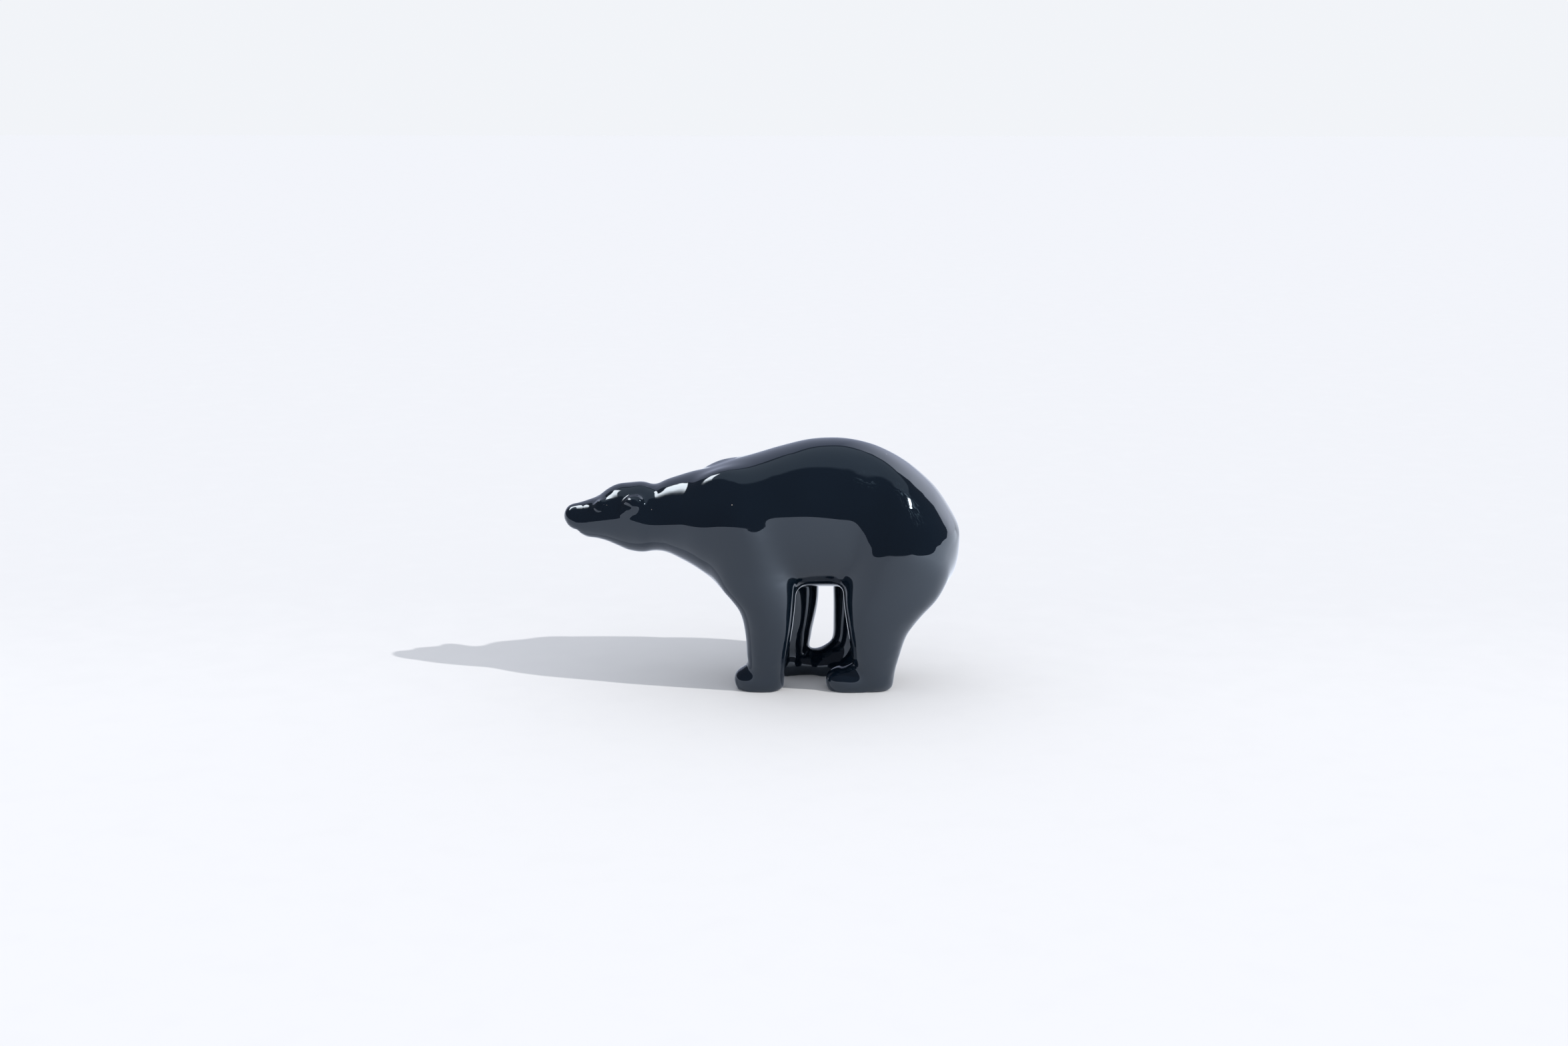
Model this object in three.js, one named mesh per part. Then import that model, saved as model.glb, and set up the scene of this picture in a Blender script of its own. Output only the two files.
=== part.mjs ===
import * as THREE from "three";

// Crystal polar bear, in millimetres. X runs from the nose (-X) to the rump, Y across, Z up, soles on Z = 0.
// The animal is one solid. Its surface is the zero level of a smooth field, blended from a trunk, four legs
// with their feet, and the small forms of the head and the shoulders.

// Cross-sections of the trunk from the nose to the rump: x, top and bottom level, half width, level of the
// widest point, sway of the middle (- is the near side), and how full the section is above and below its
// widest point (2 is an ellipse).
const section = (x, top, bottom, half, wide, sway = 0, upper = 2, lower = 2) =>
  [x, top, bottom, half, wide, sway, upper, lower];
const trunkSections = [
  section(-83.3, 75.0, 67.2, 5.2, 70.6, 1.6),
  section(-78, 75.9, 64.4, 6.8, 68.6, 1.4, 2, 2.1),
  section(-74, 77.1, 62.1, 8.3, 68.6, 1.2, 2.1, 2.2),
  section(-69, 79.1, 61.5, 10.3, 70.0, 0.8, 2, 2.3),
  section(-65, 82.1, 60.4, 11.8, 70.9, 0.6, 1.9, 2.2),
  section(-61, 84.2, 58.7, 13.1, 72.0, 0.4, 1.8, 2.1),
  section(-56, 85.0, 56.5, 14.4, 72.9, 0, 1.8, 1.9),
  section(-50, 85.5, 55.7, 15.2, 71.0, -0.6, 1.9, 1.8),
  section(-45, 84.5, 56.6, 15.5, 70.0, -1.2, 2, 1.8),
  section(-40, 86.7, 56.3, 16.4, 70.0, -1.9, 2, 1.9),
  section(-34, 88.8, 53.9, 18.6, 70.3, -2.6),
  section(-28, 90.6, 50.7, 21.8, 70.2, -3.0),
  section(-22, 91.8, 46.5, 24.8, 71.2, -3.0),
  section(-14, 94.5, 39.8, 27.8, 73.2, -2.5),
  section(-4, 97.3, 38.5, 28.8, 76.4, -1.7, 2, 2.2),
  section(8, 100.8, 40.6, 28.6, 77.4, -0.8, 2, 2.4),
  section(20, 103.6, 42.2, 28.4, 77.6, -0.4, 2, 2.4),
  section(32, 104.1, 42.2, 28.3, 76.4, 0.1, 2, 2.4),
  section(38.5, 103.2, 41.6, 28.4, 75.0, 0.4, 2, 2.4),
  section(42, 102.4, 41.0, 28.7, 73.0, 0.5, 2.1, 2.4),
  section(45.5, 101.3, 39.8, 29.1, 65.0, 0.6, 2.2, 2.3),
  section(49, 99.9, 38.5, 29.5, 63.6, 0.7, 2.3, 2.2),
  section(58, 95.4, 36.0, 30.3, 62.8, 0.8, 2.5),
  section(66, 91.0, 34.6, 30.5, 63.3, 0.8, 2.4),
  section(74, 85.7, 33.2, 30.8, 63.6, 0.8, 2.3),
  section(82.2, 76.0, 32.0, 31.0, 63.8, 0.8, 2.3),
];
// How long the rounding of each end is, and how full.
const NOSE_CAP = { length: 3.2, fullness: 2 };
const RUMP_CAP = { length: 34, fullness: 2.6 };

// Level sections of a leg, from the sole up into the body: z, front and rear edge, inner and outer side, as
// the near legs have them.
const level = (z, front, rear, inner, outer) => [z, front, rear, inner, outer];
const foreLeg = [
  level(0, -5.3, 8.8, 5.2, 19.8),
  level(8, -5.6, 9.6, 5.0, 21.3),
  level(16, -6.1, 11.0, 4.8, 23.6),
  level(25, -6.7, 12.8, 4.5, 26.0),
  level(35, -9.2, 14.0, 3.8, 28.3),
  level(45, -16.6, 14.4, 2.8, 29.6),
  level(55, -19.8, 12.4, 2.0, 30.1),
  level(64, -19.6, 8.4, 2.0, 30.5),
  level(74, -18.4, 3.0, 2.0, 30.8),
  level(84, -14.0, -2.0, 2.0, 28.6),
];
const hindLeg = [
  level(0, 38.8, 54.8, 5.2, 18.7),
  level(8, 38.4, 55.7, 5.0, 20.6),
  level(16, 37.4, 57.7, 4.8, 23.2),
  level(25, 36.0, 60.7, 4.4, 25.8),
  level(33, 34.8, 66.4, 3.8, 28.0),
  level(41, 34.0, 73.3, 2.8, 29.4),
  level(51, 34.8, 77.0, 1.5, 30.4),
  level(61, 38.6, 75.6, 0.5, 30.8),
  level(71, 42.8, 71.6, 0.5, 29.4),
  level(83, 47.6, 64.0, 0.5, 25.0),
];
// How full the level sections are towards the middle of the animal and on the outside.
const FULLNESS = { inner: 2, outer: 2.3 };
const LEG_TOP = { fore: 90, hind: 86 };
const LEG_CAP = 15;
const SOLE_ROUNDING = 4.0;
const SOLE_CUT = 0.8; // the floor cuts this much off the rounding, so that the sole is flat
const STANCE = 12.3; // from the middle of the animal to the middle of a foot

// The far fore leg stands back and the far hind leg forward, in mid stride. Higher up the legs draw level.
// Each row: z, shift of the fore leg, shift of the hind leg.
const stride = [
  [0, 10.2, -10.2],
  [18, 9.2, -7.4],
  [36, 9.4, -4.8],
  [66, 5, -3.5],
  [82, 4, -3],
];

// Feet, and the small forms with their middle and radii.
const toe = { reach: 10.3, half: 7.7, height: 6.4, level: 3.9, fullness: 2.3, foreX: -1.2, hindX: 37.0 };
const ear = { at: [-52.4, 12.5, 78.3], size: [4.3, 3.1, 3.9] };
// Where the far hind toes run into the far fore heel.
const bridge = { at: [31.5, 12.3, 6.5], size: [7.6, 5.6, 7.0] };
const brow = { at: [-65.4, 7.2, 76.9], size: [4.4, 2.7, 2.1] };
const shoulderBlade = { at: [-12.4, 11.5, 83], size: [15.0, 8.6, 10.3], nearer: 2.2 };

const BLEND = { leg: 6, feet: 2.6, toe: 2.4, ear: 2.4, brow: 3, blade: 6 };

const { min, max, abs, sqrt, hypot, pow } = Math;

// The nearer of two distances, with the corner between them filled to the given width.
function blend(a, b, width) {
  const h = max(width - abs(a - b), 0) / width;
  return min(a, b) - (h * h * h * width) / 6;
}

// Reads rows of sizes at t, their first column, along a smooth curve through every row.
function sampler(rows) {
  const last = rows.length - 1;
  const slopes = rows.map((_, i) => {
    const before = rows[max(i - 1, 0)], after = rows[min(i + 1, last)];
    return before.map((value, n) => (after[n] - value) / (after[0] - before[0]));
  });
  return (t) => {
    let i = 0;
    while (i < last - 1 && t > rows[i + 1][0]) i++;
    const a = rows[i], b = rows[i + 1], span = b[0] - a[0];
    const u = min(max((t - a[0]) / span, 0), 1), u2 = u * u, u3 = u2 * u;
    const atA = 2 * u3 - 3 * u2 + 1, leaveA = span * (u3 - 2 * u2 + u), reachB = span * (u3 - u2);
    return a.map((value, n) =>
      atA * value + (1 - atA) * b[n] + leaveA * slopes[i][n] + reachB * slopes[i + 1][n]);
  };
}

// Turns a function that is 1 on the surface into a distance from it, by its slope at that point.
function distance(form, x, y, z) {
  const d = 0.05, here = form(x, y, z);
  const slope = hypot(form(x + d, y, z) - here, form(x, y + d, z) - here, form(x, y, z + d) - here) / d;
  return (here - 1) / max(slope, 1e-3);
}

const ellipsoid = ([cx, cy, cz], [rx, ry, rz]) => (x, y, z) =>
  hypot((x - cx) / rx, (y - cy) / ry, (z - cz) / rz);
const pad = ([cx, cy, cz], [rx, ry, rz], n) => (x, y, z) =>
  pow(pow(abs(x - cx) / rx, n) + pow(abs(y - cy) / ry, n) + pow(abs(z - cz) / rz, n), 1 / n);

const trunkAt = sampler(trunkSections);
const noseEnd = trunkSections[0][0], rumpEnd = trunkSections.at(-1)[0];

// How far x has gone into the rounding of an end: 0 before it, 1 at the very end.
const intoNose = (x) => max(noseEnd + NOSE_CAP.length - x, 0) / NOSE_CAP.length;
const intoRump = (x) => max(x - (rumpEnd - RUMP_CAP.length), 0) / RUMP_CAP.length;

function trunk(x, y, z) {
  const [, top, bottom, half, wide, sway, upper, lower] = trunkAt(x);
  const n = z > wide ? upper : lower;
  const rise = z > wide ? top - wide : wide - bottom;
  const across = pow(pow(abs(y - sway) / half, n) + pow(abs(z - wide) / rise, n), 1 / n);
  const [into, m] = x < 0 ? [intoNose(x), NOSE_CAP.fullness] : [intoRump(x), RUMP_CAP.fullness];
  return pow(pow(across, m) + pow(into, m), 1 / m);
}

function leg(rows, top, shift) {
  const at = sampler(rows);
  return (x, y, z) => {
    const [, front, rear, inner, outer] = at(z);
    const down = min(max(1 - (z + SOLE_CUT) / SOLE_ROUNDING, 0), 0.95);
    const inset = SOLE_ROUNDING * (1 - sqrt(1 - down * down));
    const out = y - (inner + outer) / 2;
    const u = abs(x - shift(z) - (front + rear) / 2) / ((rear - front) / 2 - inset);
    const v = abs(out) / ((outer - inner) / 2 - inset);
    const n = out < 0 ? FULLNESS.inner : FULLNESS.outer;
    const across = pow(pow(u, n) + pow(v, n), 1 / n);
    return hypot(across, max(z - (top - LEG_CAP), 0) / LEG_CAP);
  };
}

const strideAt = sampler(stride);

// The forms of one side of the animal. Their y grows outwards from the middle.
function sideForms(far) {
  const foreShift = far ? (z) => strideAt(z)[1] : () => 0;
  const hindShift = far ? (z) => strideAt(z)[2] : () => 0;
  const toes = (x) => pad([x, STANCE, toe.level], [toe.reach, toe.half, toe.height], toe.fullness);
  const [bladeX, bladeY, bladeZ] = shoulderBlade.at;
  const bladeShift = far ? -shoulderBlade.nearer : shoulderBlade.nearer;
  return {
    fore: leg(foreLeg, LEG_TOP.fore, foreShift),
    hind: leg(hindLeg, LEG_TOP.hind, hindShift),
    foreToes: toes(toe.foreX + foreShift(0)),
    hindToes: toes(toe.hindX + hindShift(0)),
    ear: ellipsoid(ear.at, ear.size),
    brow: ellipsoid(brow.at, brow.size),
    blade: ellipsoid([bladeX, bladeY + bladeShift, bladeZ], shoulderBlade.size),
  };
}
const sides = { near: sideForms(false), far: sideForms(true) };

// About the distance from the animal's surface, negative inside.
function field(x, y, z) {
  let d = distance(trunk, x, y, z);
  d = blend(d, distance(ellipsoid(bridge.at, bridge.size), x, y, z), BLEND.feet);
  for (const [side, out] of [[sides.near, -y], [sides.far, y]]) {
    const to = (form) => distance(form, x, out, z);
    const fore = blend(to(side.fore), to(side.foreToes), BLEND.toe);
    const hind = blend(to(side.hind), to(side.hindToes), BLEND.toe);
    d = blend(d, to(side.blade), BLEND.blade);
    d = blend(d, blend(fore, hind, BLEND.feet), BLEND.leg);
    d = blend(d, to(side.brow), BLEND.brow);
    d = blend(d, to(side.ear), BLEND.ear);
  }
  return d;
}

// The surface is a net of four-sided faces over the field, with one vertex in each grid cell it crosses.
const COARSE = 5;
const COARSENING = 0.13;
const ROUNDS = 6; // of evening out
const LONGEST_STEP = 1.5; // of a vertex towards the surface

// Grid planes from start to end. Each band holds its own spacing, and the spacing grows away from it.
function planes(start, end, ...bands) {
  const spacing = (t, [from, to, fine]) => fine + COARSENING * max(from - t, t - to, 0);
  const gap = (t) => min(COARSE, ...bands.map((band) => spacing(t, band)));
  const list = [start];
  while (list.at(-1) < end) list.push(list.at(-1) + gap(list.at(-1)));
  return list;
}
const xs = planes(-85, 86, [-85, -47, 2.2], [18, 29, 3.6]);
const halfYs = planes(0, 34, [0, 12, 2.6]).slice(1);
const ys = [...halfYs.map((y) => -y).reverse(), 0, ...halfYs];
const zs = [-1.2, ...planes(1.2, 107, [0, 9, 2.8], [60, 83, 2.2])];

function gradient(x, y, z) {
  const d = 0.02;
  return [
    (field(x + d, y, z) - field(x - d, y, z)) / (2 * d),
    (field(x, y + d, z) - field(x, y - d, z)) / (2 * d),
    (field(x, y, z + d) - field(x, y, z - d)) / (2 * d),
  ];
}

// Moves a point onto the surface. A point of the sole's rim keeps to the floor.
function settle(p, onFloor, passes) {
  for (let pass = 0; pass < passes; pass++) {
    const value = field(...p), g = gradient(...p);
    if (onFloor) g[2] = 0;
    const k = value / max(g[0] ** 2 + g[1] ** 2 + g[2] ** 2, 1e-3);
    const step = min(1, LONGEST_STEP / max(abs(k) * hypot(...g), 1e-9));
    for (let i = 0; i < 3; i++) p[i] -= step * k * g[i];
  }
}

// Calls visit with every i, j, k below the three counts.
function eachCell([nx, ny, nz], visit) {
  for (let k = 0; k < nz; k++)
    for (let j = 0; j < ny; j++)
      for (let i = 0; i < nx; i++) visit(i, j, k);
}

const STEPS = [[1, 0, 0], [0, 1, 0], [0, 0, 1]];

// Where a grid face is inside at two opposite corners only, the net would touch itself. The shallower of the
// two corners then counts as outside.
function openTouching(values, cells, id) {
  let changed = true;
  const check = (i, j, k) =>
    STEPS.forEach((s, axis) => {
      const t = STEPS[(axis + 1) % 3];
      const ring = [[0, 0], [1, 0], [1, 1], [0, 1]].map(([a, b]) =>
        id(i + a * s[0] + b * t[0], j + a * s[1] + b * t[1], k + a * s[2] + b * t[2]));
      const [a, b, c, d] = ring.map((n) => values[n] <= 0);
      if (a !== c || b !== d || a === b) return;
      const inside = ring.filter((n) => values[n] <= 0);
      values[values[inside[0]] > values[inside[1]] ? inside[0] : inside[1]] = 0.01;
      changed = true;
    });
  while (changed) {
    changed = false;
    eachCell(cells, check);
  }
}

function surfaceNet() {
  const counts = [xs.length, ys.length, zs.length], cells = counts.map((n) => n - 1);
  const id = (i, j, k) => (k * counts[1] + j) * counts[0] + i;
  const values = new Float32Array(counts[0] * counts[1] * counts[2]);
  eachCell(counts, (i, j, k) => {
    values[id(i, j, k)] = k === 0 ? 1 : field(xs[i], ys[j], zs[k]);
  });
  openTouching(values, cells, id);

  const vertices = [], kinds = [], cellVertex = new Map();
  const corners = [0, 1, 2, 3, 4, 5, 6, 7].map((n) => [n & 1, (n >> 1) & 1, n >> 2]);
  eachCell(cells, (i, j, k) => {
    const v = corners.map(([a, b, c]) => values[id(i + a, j + b, k + c)]);
    if (v.every((q) => q > 0) || v.every((q) => q <= 0)) return;
    const crossings = [];
    for (let m = 0; m < 8; m++)
      for (const bit of [1, 2, 4]) {
        const n = m | bit;
        if (m === n || v[m] > 0 === v[n] > 0) continue;
        const t = v[m] / (v[m] - v[n]), [a, b, c] = corners[m], [e, f, g] = corners[n];
        crossings.push([
          xs[i + a] + t * (xs[i + e] - xs[i + a]),
          ys[j + b] + t * (ys[j + f] - ys[j + b]),
          zs[k + c] + t * (zs[k + g] - zs[k + c]),
        ]);
      }
    const p = [0, 1, 2].map((n) => crossings.reduce((sum, q) => sum + q[n], 0) / crossings.length);
    const rim = k === 0 && v.slice(4).some((q) => q > 0);
    if (k === 0) p[2] = 0;
    cellVertex.set(id(i, j, k), vertices.length);
    vertices.push(p);
    kinds.push(k > 0 ? "skin" : rim ? "rim" : "sole");
  });

  const quads = [];
  eachCell(cells, (i, j, k) =>
    STEPS.forEach((step, axis) => {
      const from = values[id(i, j, k)], to = values[id(i + step[0], j + step[1], k + step[2])];
      if (from > 0 === to > 0) return;
      const s = STEPS[(axis + 1) % 3], t = STEPS[(axis + 2) % 3];
      const quad = [[1, 1], [0, 1], [0, 0], [1, 0]].map(([a, b]) =>
        cellVertex.get(id(i - a * s[0] - b * t[0], j - a * s[1] - b * t[1], k - a * s[2] - b * t[2])));
      quads.push(from > 0 ? quad.reverse() : quad);
    }));
  return { vertices, kinds, quads };
}

// Evens out the net: each vertex goes towards the middle of its neighbours and back onto the surface.
function relax({ vertices, kinds, quads }, rounds) {
  const neighbours = vertices.map(() => new Set());
  for (const quad of quads)
    quad.forEach((v, n) => {
      neighbours[v].add(quad[(n + 1) % 4]);
      neighbours[quad[(n + 1) % 4]].add(v);
    });
  vertices.forEach((p, n) => kinds[n] !== "sole" && settle(p, kinds[n] === "rim", 3));
  for (let round = 0; round < rounds; round++) {
    const targets = vertices.map((p, n) => {
      const near = [...neighbours[n]].filter((m) => kinds[n] !== "rim" || kinds[m] === "rim");
      return [0, 1, 2].map((a) => near.reduce((sum, m) => sum + vertices[m][a], 0) / near.length);
    });
    vertices.forEach((p, n) => {
      for (let a = 0; a < 3; a++) p[a] += 0.5 * (targets[n][a] - p[a]);
      if (kinds[n] !== "sole") settle(p, kinds[n] === "rim", round === rounds - 1 ? 3 : 1);
    });
  }
}

// Each face of the net becomes two triangles, split along the diagonal that lies closer to the surface. The
// result stands on Z = 0, in the middle of its own length and width.
function bearGeometry() {
  const net = surfaceNet();
  relax(net, ROUNDS);
  const { vertices, quads } = net;
  const off = (a, b) => abs(field(...[0, 1, 2].map((n) => (vertices[a][n] + vertices[b][n]) / 2)));
  const index = quads.flatMap(([a, b, c, d]) =>
    off(a, c) <= off(b, d) ? [a, b, c, a, c, d] : [a, b, d, b, c, d]);
  const geometry = new THREE.BufferGeometry();
  geometry.setAttribute("position", new THREE.Float32BufferAttribute(vertices.flat(), 3));
  geometry.setIndex(index);
  geometry.computeBoundingBox();
  const { min: low, max: high } = geometry.boundingBox;
  geometry.translate(-(low.x + high.x) / 2, -(low.y + high.y) / 2, -low.z);
  geometry.computeVertexNormals();
  return geometry;
}

const blackCrystal = new THREE.MeshStandardMaterial({ color: 0x0b1118, roughness: 0.04, metalness: 0 });
const bear = new THREE.Mesh(bearGeometry(), blackCrystal);
bear.name = "polar_bear";

const group = new THREE.Group();
group.name = "crystal_polar_bear";
group.add(bear);

export default group;
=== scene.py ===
import math

import bpy
import numpy as np
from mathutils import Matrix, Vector


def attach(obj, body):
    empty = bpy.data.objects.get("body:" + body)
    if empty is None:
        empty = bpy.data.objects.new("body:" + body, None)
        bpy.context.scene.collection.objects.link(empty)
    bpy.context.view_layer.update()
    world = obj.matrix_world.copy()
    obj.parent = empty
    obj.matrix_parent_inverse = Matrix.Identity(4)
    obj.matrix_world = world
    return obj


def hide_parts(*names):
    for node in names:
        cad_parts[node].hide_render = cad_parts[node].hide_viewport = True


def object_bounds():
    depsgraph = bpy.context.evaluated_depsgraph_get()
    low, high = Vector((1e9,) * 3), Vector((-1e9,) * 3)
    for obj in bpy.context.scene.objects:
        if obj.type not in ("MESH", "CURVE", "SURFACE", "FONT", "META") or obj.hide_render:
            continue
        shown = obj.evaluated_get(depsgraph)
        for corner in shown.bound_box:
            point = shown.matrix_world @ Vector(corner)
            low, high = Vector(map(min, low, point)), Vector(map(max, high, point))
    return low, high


# Crystal polar bear on a pale floor. Metres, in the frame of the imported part: X from nose to rump, Z up.

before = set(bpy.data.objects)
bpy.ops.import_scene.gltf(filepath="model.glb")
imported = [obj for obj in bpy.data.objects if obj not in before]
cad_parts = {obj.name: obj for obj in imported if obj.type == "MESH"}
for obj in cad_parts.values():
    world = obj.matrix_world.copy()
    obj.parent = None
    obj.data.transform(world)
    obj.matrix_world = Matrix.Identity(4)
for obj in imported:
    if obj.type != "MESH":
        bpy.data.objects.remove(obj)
cadLow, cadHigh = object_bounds()
mm = 0.001
print("frame loaded")


def pickOnly(obj):
    bpy.ops.object.select_all(action="DESELECT")
    obj.select_set(True)
    bpy.context.view_layer.objects.active = obj


def applyAll(obj):
    pickOnly(obj)
    for modifier in list(obj.modifiers):
        bpy.ops.object.modifier_apply(modifier=modifier.name)


# The bear: the frame's solid, merged back into a net of four-sided faces and evened out. It is rounded so
# that the surface goes through the corners of that net, then evened out once more and polished.
bearForm = {
    "weld": 0.002,       # mm, corners nearer than this become one
    "pairUp": 60,        # degrees, how far two triangles may bend or skew and still make one face
    "rounds": 6,         # of fitting the rounded surface to the corners
    # Evening out smooths and swells back again, behind and above the given X and Z. Over the edge's width
    # it fades out. The back and the rump are evened in the wide net, the trunk after the first subdivision.
    "back": {"front": -0.030, "low": 0.078, "edge": 0.008, "times": 6, "repeat": 4},
    "rump": {"front": 0.055, "low": 0.048, "edge": 0.010, "times": 6, "repeat": 4},
    "trunk": {"front": -0.040, "low": 0.052, "edge": 0.012, "times": 8, "repeat": 10},
    "smooth": 0.5,
    "swell": -0.53,
    "polish": 6,         # rounds of smoothing at the end
    "polishStrength": 0.5,
    "fineLength": (-71, -47),  # the eyes and ears get a finer net, between these X in mm
    "fineLow": 74,             # and above this level
}


def cornersOf(mesh, count):
    places = np.empty(len(mesh.vertices) * 3)
    mesh.vertices.foreach_get("co", places)
    return places[:count * 3].copy()


def fitRounding(bear):
    wanted = cornersOf(bear.data, len(bear.data.vertices))
    net = wanted.copy()
    for _ in range(bearForm["rounds"]):
        rounded = bear.evaluated_get(bpy.context.evaluated_depsgraph_get()).to_mesh()
        net += wanted - cornersOf(rounded, len(bear.data.vertices))
        bear.data.vertices.foreach_set("co", net)
        bear.data.update()


def smoothed(obj, repeat, strength, group=""):
    smoothing = obj.modifiers.new("smoothing", "SMOOTH")
    smoothing.iterations = repeat
    smoothing.factor = strength
    smoothing.vertex_group = group
    applyAll(obj)


def evenOut(bear, part):
    area = bearForm[part]
    group = bear.vertex_groups.new(name=part)
    for corner in bear.data.vertices:
        depth = min(corner.co.x - area["front"], corner.co.z - area["low"]) / area["edge"]
        if depth > 0:
            group.add([corner.index], min(depth, 1), "REPLACE")
    for _ in range(area["times"]):
        smoothed(bear, area["repeat"], bearForm["smooth"], part)
        smoothed(bear, area["repeat"], bearForm["swell"], part)


# Small forms of the head in mm, for the near side, and the same on the far side. Each has its middle
# (X, Z), its half length and half height, how far it rises out of the surface (- is a hollow), and its
# slant in degrees.
headForm = {
    "eye": ((-67.2, 76.9), (2.6, 2.2), -0.40, 0),
    "lid": ((-67.6, 78.8), (3.0, 1.1), 0.28, 25),
    "hook": ((-54.9, 78.1), (2.3, 1.5), -0.50, -12),      # between the ear and the cheek
    "cheek": ((-55.4, 75.6), (3.6, 3.2), 0.45, 20),
}
earGroove = {
    "middle": (-52.2, 78.8),
    "radius": 2.75,
    "width": 0.7,
    "depth": 0.24,
    "from": 85,          # its middle, degrees up from straight back
    "reach": 80,         # to either side of that
}
mouthNotch = {
    "middle": (-76.9, 65.0),
    "radius": 1.9,
    "depth": 0.45,
    "halfWidth": 6.0,
}
sideFading = 3           # the side forms fade out where less than a third of the normal points sideways


def swelling(distance):
    return np.clip(1 - distance ** 2, 0, None) ** 2


def carveHead(bear):
    count = len(bear.data.vertices)
    places = cornersOf(bear.data, count).reshape(-1, 3)
    normals = np.empty(count * 3)
    bear.data.vertices.foreach_get("normal", normals)
    normals = normals.reshape(-1, 3)
    x, y, z = (places / mm).T
    outwards = np.sign(normals[:, 1]) == np.sign(y)
    sideways = np.clip(np.abs(normals[:, 1]) * sideFading, 0, 1) * outwards
    rise = np.zeros(count)
    for (midX, midZ), (halfLength, halfHeight), height, slant in headForm.values():
        turn = math.radians(slant)
        along = (x - midX) * math.cos(turn) + (z - midZ) * math.sin(turn)
        across = (z - midZ) * math.cos(turn) - (x - midX) * math.sin(turn)
        rise += height * swelling(np.hypot(along / halfLength, across / halfHeight)) * sideways
    earX, earZ = earGroove["middle"]
    fromEar = np.hypot(x - earX, z - earZ)
    around = np.degrees(np.arctan2(z - earZ, x - earX)) - earGroove["from"]
    rise -= (earGroove["depth"] * swelling((fromEar - earGroove["radius"]) / earGroove["width"])
             * swelling(around / earGroove["reach"]) * sideways)
    mouthX, mouthZ = mouthNotch["middle"]
    fromMouth = np.hypot(x - mouthX, z - mouthZ) / mouthNotch["radius"]
    rise -= mouthNotch["depth"] * swelling(fromMouth) * swelling(y / mouthNotch["halfWidth"])
    places += normals * rise[:, None] * mm
    bear.data.vertices.foreach_set("co", places.ravel())
    bear.data.update()


# A finer net over the eyes and ears.
def refineHead(bear):
    fromX, toX = bearForm["fineLength"]
    pickOnly(bear)
    bpy.ops.object.mode_set(mode="EDIT")
    bpy.ops.mesh.select_all(action="DESELECT")
    bpy.ops.object.mode_set(mode="OBJECT")
    for face in bear.data.polygons:
        x, _, z = face.center / mm
        face.select = fromX < x < toX and z > bearForm["fineLow"]
    bpy.ops.object.mode_set(mode="EDIT")
    bpy.ops.mesh.select_mode(type="FACE")
    bpy.ops.mesh.subdivide(number_cuts=1, smoothness=1)
    bpy.ops.object.mode_set(mode="OBJECT")


# The soles lie flat on the floor, and the whole stays within the size of the solid.
def seatBear(bear):
    places = cornersOf(bear.data, len(bear.data.vertices)).reshape(-1, 3)
    low, high = np.array(cadLow), np.array(cadHigh)
    middle = np.array([(low[0] + high[0]) / 2, (low[1] + high[1]) / 2, low[2]])
    fit = min(1, *((high - middle) / (places.max(axis=0) - middle)),
              *((low - middle)[:2] / (places.min(axis=0) - middle)[:2]))
    places = middle + (places - middle) * fit
    places[:, 2] = np.maximum(places[:, 2], low[2])
    bear.data.vertices.foreach_set("co", places.ravel())
    bear.data.update()
    print("bear fitted to the frame,", round(fit, 5))


def modelBear(solid):
    bear = bpy.data.objects.new("bear", solid.data.copy())
    bpy.context.scene.collection.objects.link(bear)
    bear.data.materials.clear()
    pickOnly(bear)
    bpy.ops.object.mode_set(mode="EDIT")
    bpy.ops.mesh.select_all(action="SELECT")
    bpy.ops.mesh.remove_doubles(threshold=bearForm["weld"] * mm)
    pairUp = math.radians(bearForm["pairUp"])
    bpy.ops.mesh.tris_convert_to_quads(face_threshold=pairUp, shape_threshold=pairUp)
    bpy.ops.object.mode_set(mode="OBJECT")
    evenOut(bear, "back")
    evenOut(bear, "rump")
    bear.modifiers.new("rounding", "SUBSURF")
    fitRounding(bear)
    applyAll(bear)
    evenOut(bear, "trunk")
    bear.modifiers.new("roundingAgain", "SUBSURF")
    applyAll(bear)
    smoothed(bear, bearForm["polish"], bearForm["polishStrength"])
    refineHead(bear)
    carveHead(bear)
    seatBear(bear)
    bpy.ops.object.shade_smooth()
    return bear


# Nodes for the crystal, the floor and the room. A value is a number, a colour or the socket that gives it.
def feed(tree, socket, value):
    if isinstance(value, bpy.types.NodeSocket):
        tree.links.new(value, socket)
    else:
        socket.default_value = value


def addMaths(tree, operation, *values):
    made = tree.nodes.new("ShaderNodeMath")
    made.operation = operation
    for socket, value in zip(made.inputs, values):
        feed(tree, socket, value)
    return made.outputs[0]


def addRange(tree, value, fromRange, start=0, end=1, kind="LINEAR"):
    made = tree.nodes.new("ShaderNodeMapRange")
    made.interpolation_type = kind
    tree.links.new(value, made.inputs["Value"])
    for name, number in zip(("From Min", "From Max", "To Min", "To Max"), (*fromRange, start, end)):
        made.inputs[name].default_value = number
    return made.outputs["Result"]


def addMix(tree, factor, under, over, kind="MIX"):
    made = tree.nodes.new("ShaderNodeMix")
    made.data_type = "RGBA"
    made.blend_type = kind
    tree.links.new(factor, made.inputs["Factor"])
    feed(tree, made.inputs["A"], under)
    feed(tree, made.inputs["B"], over)
    return made.outputs["Result"]


def addPattern(tree, kind, where, scale):
    made = tree.nodes.new(kind)
    made.inputs["Scale"].default_value = scale
    tree.links.new(where, made.inputs["Vector"])
    return made


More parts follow.
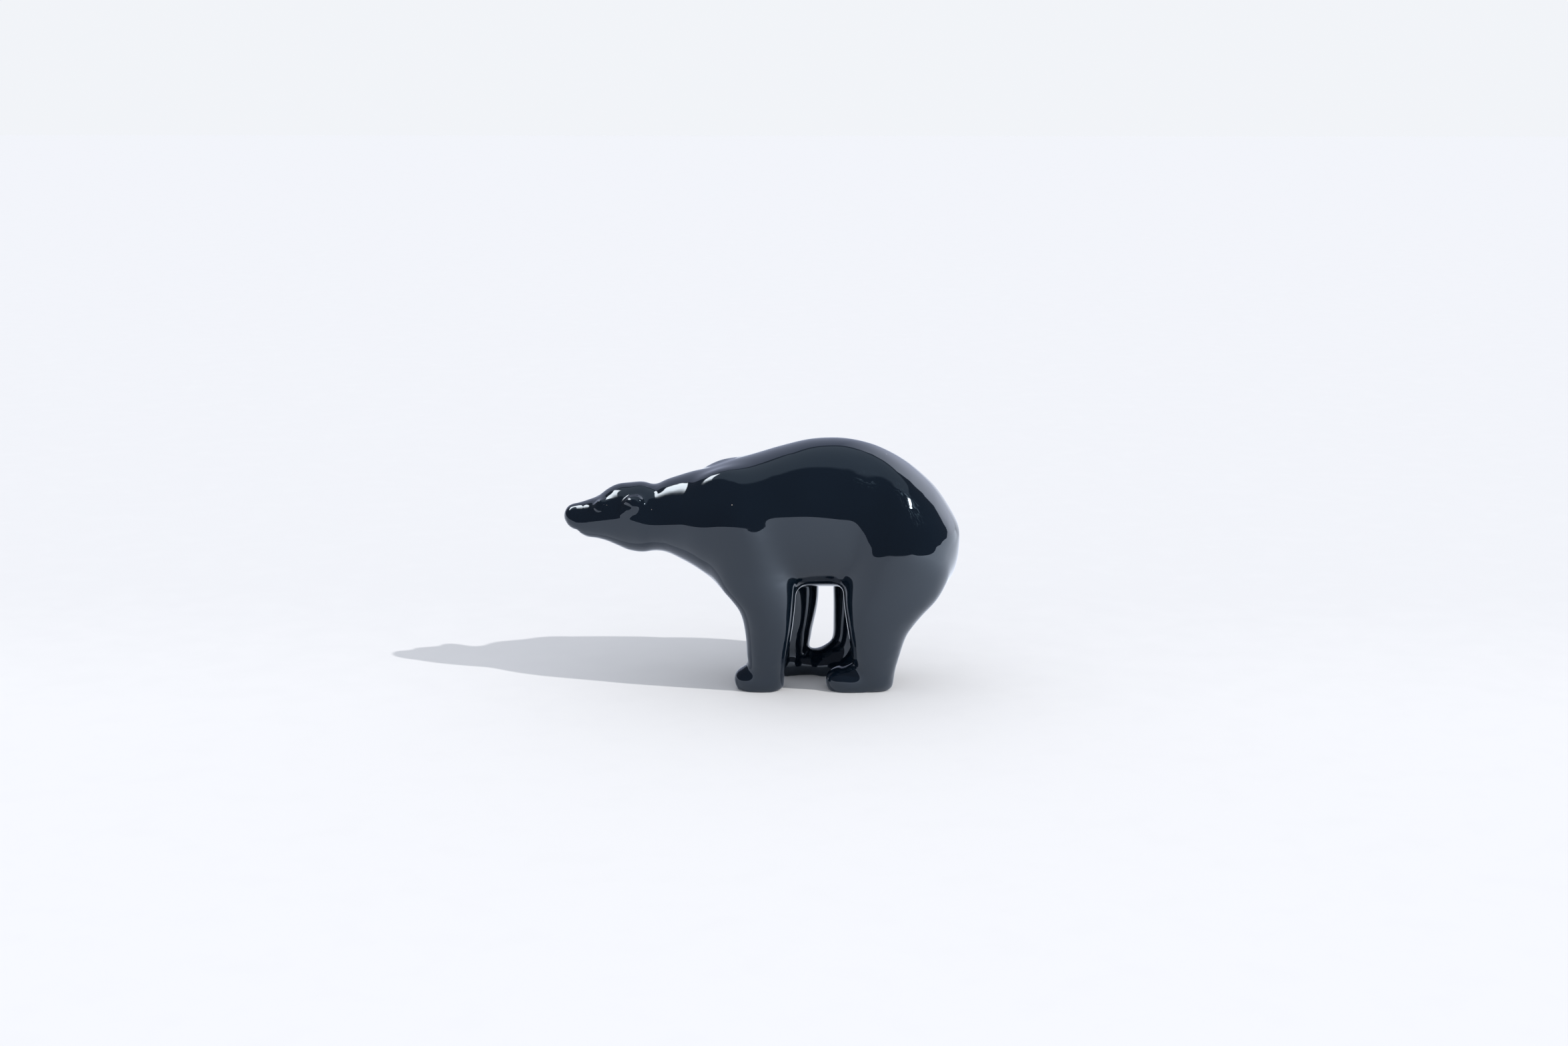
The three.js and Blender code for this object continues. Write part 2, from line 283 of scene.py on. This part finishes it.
# Opaque blue-black crystal with a mirror polish: its depth of colour, the faint haze of handling and a few
# specks of dust vary over it.
crystalLook = {
    "black": (0.0027, 0.0066, 0.0125, 1),
    "blue": (0.0038, 0.0086, 0.016, 1),
    "cloudScale": 22,          # features to a metre
    "cloudRange": (0.35, 0.65),
    "clear": 0.02,             # roughness where it is clean
    "hazy": 0.06,
    "hazeScale": 60,
    "hazeRange": (0.45, 0.75),
    "unevenness": 0.00002,
    "unevenScale": 38,
    "dust": (0.32, 0.34, 0.37, 1),
    "dustScale": 230,
    "dustSize": 0.055,         # of a cell of the pattern
    "dustFades": 1.6,          # times its size, where a speck has faded out
    "dustFree": 0.90,          # this share of the cells has no dust
    "dustStep": 0.01,
    "ior": 1.62,
    "gleam": (0.87, 0.935, 1.0, 1),
}


def crystalMaterial():
    material = bpy.data.materials.new("blackCrystal")
    material.use_nodes = True
    tree = material.node_tree
    shader = tree.nodes["Principled BSDF"]
    shader.inputs["IOR"].default_value = crystalLook["ior"]
    shader.inputs["Specular Tint"].default_value = crystalLook["gleam"]
    where = tree.nodes.new("ShaderNodeTexCoord").outputs["Object"]

    clouds = addPattern(tree, "ShaderNodeTexNoise", where, crystalLook["cloudScale"])
    cloudy = addRange(tree, clouds.outputs["Fac"], crystalLook["cloudRange"])
    colour = addMix(tree, cloudy, crystalLook["black"], crystalLook["blue"])
    haze = addPattern(tree, "ShaderNodeTexNoise", where, crystalLook["hazeScale"])
    roughness = addRange(tree, haze.outputs["Fac"], crystalLook["hazeRange"],
                         crystalLook["clear"], crystalLook["hazy"])
    tree.links.new(roughness, shader.inputs["Roughness"])

    # a round speck of dust in the middle of a few cells
    specks = addPattern(tree, "ShaderNodeTexVoronoi", where, crystalLook["dustScale"])
    free, size = crystalLook["dustFree"], crystalLook["dustSize"]
    chosen = addRange(tree, specks.outputs["Color"], (free, free + crystalLook["dustStep"]))
    speck = addRange(tree, specks.outputs["Distance"], (size, size * crystalLook["dustFades"]), 1, 0)
    dusty = addMix(tree, addMaths(tree, "MULTIPLY", speck, chosen), colour, crystalLook["dust"])
    tree.links.new(dusty, shader.inputs["Base Color"])

    waves = addPattern(tree, "ShaderNodeTexNoise", where, crystalLook["unevenScale"])
    waves.inputs["Detail"].default_value = 0
    bump = tree.nodes.new("ShaderNodeBump")
    bump.inputs["Distance"].default_value = crystalLook["unevenness"]
    tree.links.new(waves.outputs["Fac"], bump.inputs["Height"])
    tree.links.new(bump.outputs["Normal"], shader.inputs["Normal"])
    return material


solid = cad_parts["polar_bear"]
bear = modelBear(solid)
bear.data.materials.append(crystalMaterial())
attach(bear, "root")
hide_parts("polar_bear")
print("bear modelled,", len(bear.data.polygons), "faces")


# The floor: a pale sheet that begins in front of the bear, and a second one in front of that, which the
# crystal doesn't mirror. Its colour is painted shade and light: darker behind and lighter in front.
floorForm = {
    "front": -0.38,      # the border between the two
    "far": 6.0,
    "farShadedColour": (0.805, 0.815, 0.84, 1),
    "nearLitColour": (0.848, 0.857, 0.88, 1),
    "paintedShadeRange": (0.15, -0.05),          # painted shade: the colour goes from the darker far one to the lighter near one between these Y
    "grain": 55,         # features to a metre
    "grainRange": (0.3, 0.7),
    "grainy": 0.16,      # share of the difference between the colours
    "mirrored": (1.03, 1.08, 1.18, 1),       # painted reflection: how much brighter the crystal shows it than it is
    "paintedReflectionRight": (2.1, 2.25, 2.45, 1),   # and at the right,
    "rightwards": (-0.01, 0.36),             # reached between these X
    "behind": (0.14, 0.36),            # the gain at the right fades between these Y,
    "aside": (0.0, 0.15),              # but not for what lies aside, right of a slanting line
    "asideSlope": 0.7,
}


def floorMaterial():
    material = bpy.data.materials.new("paleFloor")
    material.use_nodes = True
    tree = material.node_tree
    tree.nodes.remove(tree.nodes["Principled BSDF"])
    shader = tree.nodes.new("ShaderNodeBsdfDiffuse")
    tree.links.new(shader.outputs[0], tree.nodes["Material Output"].inputs["Surface"])
    where = tree.nodes.new("ShaderNodeTexCoord").outputs["Object"]
    axes = tree.nodes.new("ShaderNodeSeparateXYZ")
    tree.links.new(where, axes.inputs[0])
    x, y, _ = axes.outputs

    grain = addPattern(tree, "ShaderNodeTexNoise", where, floorForm["grain"])
    grainy = floorForm["grainy"]
    grains = addRange(tree, grain.outputs["Fac"], floorForm["grainRange"], -grainy, grainy)
    # painted light and shade: the colour goes from darker behind to lighter in front, with random grain
    # over it
    paintedLightAndGrain = addMaths(tree, "ADD", addRange(tree, y, floorForm["paintedShadeRange"]), grains)
    seen = addMix(tree, paintedLightAndGrain, floorForm["farShadedColour"], floorForm["nearLitColour"])

    # painted reflection: rays from the crystal see the floor's colour raised, most at the right
    slanting = addMaths(tree, "MULTIPLY_ADD", y, -floorForm["asideSlope"], x)
    aside = addRange(tree, slanting, floorForm["aside"])
    fading = addMaths(tree, "MAXIMUM", addRange(tree, y, floorForm["behind"], 1, 0), aside)
    bright = addMaths(tree, "MULTIPLY", addRange(tree, x, floorForm["rightwards"]), fading)
    paintedReflectionGain = addMix(tree, bright, floorForm["mirrored"], floorForm["paintedReflectionRight"])
    rays = tree.nodes.new("ShaderNodeLightPath")
    shown = addMix(tree, rays.outputs["Is Glossy Ray"], seen, paintedReflectionGain, "MULTIPLY")
    tree.links.new(shown, shader.inputs["Color"])
    return material


def floorSheet(name, low, high, material):
    middle = ((low[0] + high[0]) / 2, (low[1] + high[1]) / 2, 0)
    bpy.ops.object.select_all(action="DESELECT")
    bpy.ops.mesh.primitive_plane_add(size=1, location=middle)
    sheet = bpy.context.object
    sheet.name = name
    sheet.scale = (high[0] - low[0], high[1] - low[1], 1)
    bpy.ops.object.transform_apply(location=True, rotation=True, scale=True)
    sheet.data.materials.append(material)
    return sheet


paleFloor = floorMaterial()
far, front = floorForm["far"], floorForm["front"]
floorSheet("floor", (-far, front), (far, far), paleFloor)
nearFloor = floorSheet("floorNear", (-far, -far), (far, front), paleFloor)
nearFloor.visible_glossy = False
print("floor laid")


# The room as the crystal mirrors it: a pale wall behind the bear, a ceiling over its back, a window up on
# the left, and a dark room in front. Angles and sizes are in degrees, but the ceiling's front border, the
# pattern of the glare and where the ambient turns are not.
roomLook = {
    "backdrop": (0.885, 0.905, 0.94, 1),     # what the camera sees past the floor
    "ambient": (0.78, 0.80, 0.845, 1),       # lights the floor, from behind and above
    "ambientFront": (0.68, 0.70, 0.74, 1),   # and from the front
    "ambientTurns": (-0.25, 0.35),           # where it changes, and to either side of that
    "dark": (0.10, 0.105, 0.13, 1),
    "ceiling": (0.40, 0.47, 0.56, 1),
    "ceilingFrom": 49,                 # above the horizon
    "ceilingSoft": 1.5,
    "ceilingFront": (0.4, -0.15),      # slant and place of its front border
    "ceilingFrontSoft": 0.05,
    "ceilingLow": 0.1,                 # keeps the reckoning of that border off the horizon
    "wall": (0.475, 0.525, 0.69, 1),
    "wallBright": (1.85, 1.97, 2.28, 1),     # the wall's right-hand side, in the sun
    "brightens": (6, 48),              # to the right of straight behind
    "wallTop": 46,
    "wallRight": 74,                   # at the horizon
    "wallLeans": 0.7,                  # to the left for each degree up
    "wallSoft": 0.6,
    "wallLeft": -42,
    "wallLeftSoft": 0.01,
    "window": (10.5, 11.0, 11.4, 1),
    "windowLow": 45,
    "windowHigh": 56,
    "windowSoft": 0.8,
    "windowRight": -40,
    "windowRightSoft": 1.5,
    "windowFades": (-62, -92),         # it fades out between these, towards the left
    "windowFading": 2,                 # power of that fading
    "lampAt": (-0.459, -0.589, 0.666),
    "lamp": (16, 13, 11, 1),
    "lampSize": 0.8,
    "lampSoft": 0.2,
    "sunAt": (0.60, -0.37, 0.709),
    "sun": (70, 75, 80, 1),
    "sunSize": 2.1,
    "glare": (2.6, 3.5, 4.1, 1),       # sky between branches round the sun
    "glareReach": 26,
    "glareScale": 13,
    "glareDetail": 6,
    "glareRoughness": 0.7,
    "glareFrom": 0.62,                 # of the pattern's height
    "glareSoft": 0.10,
}


def lightRoom():
    world = bpy.data.worlds.new("room")
    bpy.context.scene.world = world
    world.use_nodes = True
    tree = world.node_tree
    nodes, links = tree.nodes, tree.links
    nodes.clear()

    def maths(operation, *values):
        return addMaths(tree, operation, *values)

    def beyond(value, edge, softness):
        return addRange(tree, value, (edge - softness, edge + softness), kind="SMOOTHSTEP")

    def below(value, edge, softness):
        return maths("SUBTRACT", 1.0, beyond(value, edge, softness))

    def laid(under, over, where):
        return addMix(tree, where, under, over)

    where = nodes.new("ShaderNodeTexCoord").outputs["Generated"]
    axes = nodes.new("ShaderNodeSeparateXYZ")
    links.new(where, axes.inputs[0])
    x, y, z = axes.outputs
    azimuth = maths("DEGREES", maths("ARCTAN2", x, y))       # 0 straight behind, + to the right
    height = maths("DEGREES", maths("ARCSINE", z))

    slant, place = roomLook["ceilingFront"]
    overhead = maths("DIVIDE", maths("MULTIPLY_ADD", x, slant, y),
                     maths("MAXIMUM", z, roomLook["ceilingLow"]))
    ceiling = maths("MULTIPLY", beyond(overhead, place, roomLook["ceilingFrontSoft"]),
                    beyond(height, roomLook["ceilingFrom"], roomLook["ceilingSoft"]))

    leaning = maths("MULTIPLY_ADD", height, roomLook["wallLeans"], azimuth)
    beside = maths("SUBTRACT", beyond(azimuth, roomLook["wallLeft"], roomLook["wallLeftSoft"]),
                   beyond(leaning, roomLook["wallRight"], roomLook["wallSoft"]))
    wall = maths("MULTIPLY", maths("MAXIMUM", beside, 0.0),
                 below(height, roomLook["wallTop"], roomLook["wallSoft"]))
    brighter = addRange(tree, azimuth, roomLook["brightens"])
    wallColour = laid(roomLook["wall"], roomLook["wallBright"], brighter)

    fadeFrom, fadeTo = roomLook["windowFades"]
    along = maths("MULTIPLY", beyond(azimuth, (fadeFrom + fadeTo) / 2, (fadeFrom - fadeTo) / 2),
                  below(azimuth, roomLook["windowRight"], roomLook["windowRightSoft"]))
    upright = maths("SUBTRACT", beyond(height, roomLook["windowLow"], roomLook["windowSoft"]),
                    beyond(height, roomLook["windowHigh"], roomLook["windowSoft"]))
    window = maths("MULTIPLY", maths("POWER", along, roomLook["windowFading"]), upright)

    # 1 within the given degrees of a direction
    def towards(direction, degrees, softness):
        made = nodes.new("ShaderNodeVectorMath")
        made.operation = "DOT_PRODUCT"
        links.new(where, made.inputs[0])
        made.inputs[1].default_value = Vector(direction).normalized()
        apart = maths("DEGREES", maths("ARCCOSINE", made.outputs["Value"]))
        return below(apart, degrees, softness)

    branches = addPattern(tree, "ShaderNodeTexNoise", where, roomLook["glareScale"])
    branches.inputs["Detail"].default_value = roomLook["glareDetail"]
    branches.inputs["Roughness"].default_value = roomLook["glareRoughness"]
    reach = roomLook["glareReach"] / 2
    glare = maths("MULTIPLY", beyond(branches.outputs["Fac"], roomLook["glareFrom"], roomLook["glareSoft"]),
                  towards(roomLook["sunAt"], reach, reach))
    lamp = towards(roomLook["lampAt"], roomLook["lampSize"], roomLook["lampSoft"])
    sun = towards(roomLook["sunAt"], roomLook["sunSize"], roomLook["sunSize"])

    mirrored = laid(roomLook["dark"], roomLook["ceiling"], ceiling)
    mirrored = laid(mirrored, roomLook["glare"], glare)
    mirrored = laid(mirrored, wallColour, wall)
    mirrored = laid(mirrored, roomLook["window"], window)
    mirrored = laid(mirrored, roomLook["lamp"], lamp)
    mirrored = laid(mirrored, roomLook["sun"], sun)
    rays = nodes.new("ShaderNodeLightPath")
    diffuse = laid(roomLook["ambientFront"], roomLook["ambient"], beyond(y, *roomLook["ambientTurns"]))
    seen = laid(diffuse, mirrored, rays.outputs["Is Glossy Ray"])
    seen = laid(seen, roomLook["backdrop"], rays.outputs["Is Camera Ray"])
    background = nodes.new("ShaderNodeBackground")
    links.new(seen, background.inputs["Color"])
    links.new(background.outputs[0], nodes.new("ShaderNodeOutputWorld").inputs["Surface"])


# The sun, from the right, a little in front and 39 degrees up.
sunForm = {
    "from": (0.713, -0.304, 0.632),
    "power": 1.80,
    "angle": 0.8,
    "colour": (1.0, 0.97, 0.93),
}


def addSun():
    sun = bpy.data.lights.new("sun", "SUN")
    sun.energy = sunForm["power"]
    sun.angle = math.radians(sunForm["angle"])
    sun.color = sunForm["colour"]
    sunObject = bpy.data.objects.new("sun", sun)
    bpy.context.scene.collection.objects.link(sunObject)
    sunObject.rotation_euler = Vector(sunForm["from"]).to_track_quat("Z", "Y").to_euler()
    sunObject.visible_glossy = False       # the room shows it to the crystal


lightRoom()
addSun()
print("room lit")


# The camera of the photograph: 50 mm lens, 0.91 m away, looking down by 12 degrees.
cameraForm = {
    "target": (0.0095, 0.0, 0.06811),
    "away": 0.910,
    "down": 12.25,
    "turn": 1.5,         # degrees to the right of straight in front
    "lens": 50,
    "sensor": 36,
}


def addCamera():
    down, turn = math.radians(cameraForm["down"]), math.radians(cameraForm["turn"])
    back = Vector((math.sin(turn) * math.cos(down), -math.cos(turn) * math.cos(down), math.sin(down)))
    camera = bpy.data.cameras.new("camera")
    camera.lens = cameraForm["lens"]
    camera.sensor_width = cameraForm["sensor"]
    cameraObject = bpy.data.objects.new("camera", camera)
    bpy.context.scene.collection.objects.link(cameraObject)
    cameraObject.location = Vector(cameraForm["target"]) + back * cameraForm["away"]
    cameraObject.rotation_euler = back.to_track_quat("Z", "Y").to_euler()
    bpy.context.scene.camera = cameraObject


addCamera()
bpy.context.scene.view_settings.view_transform = "Standard"
print("camera placed")
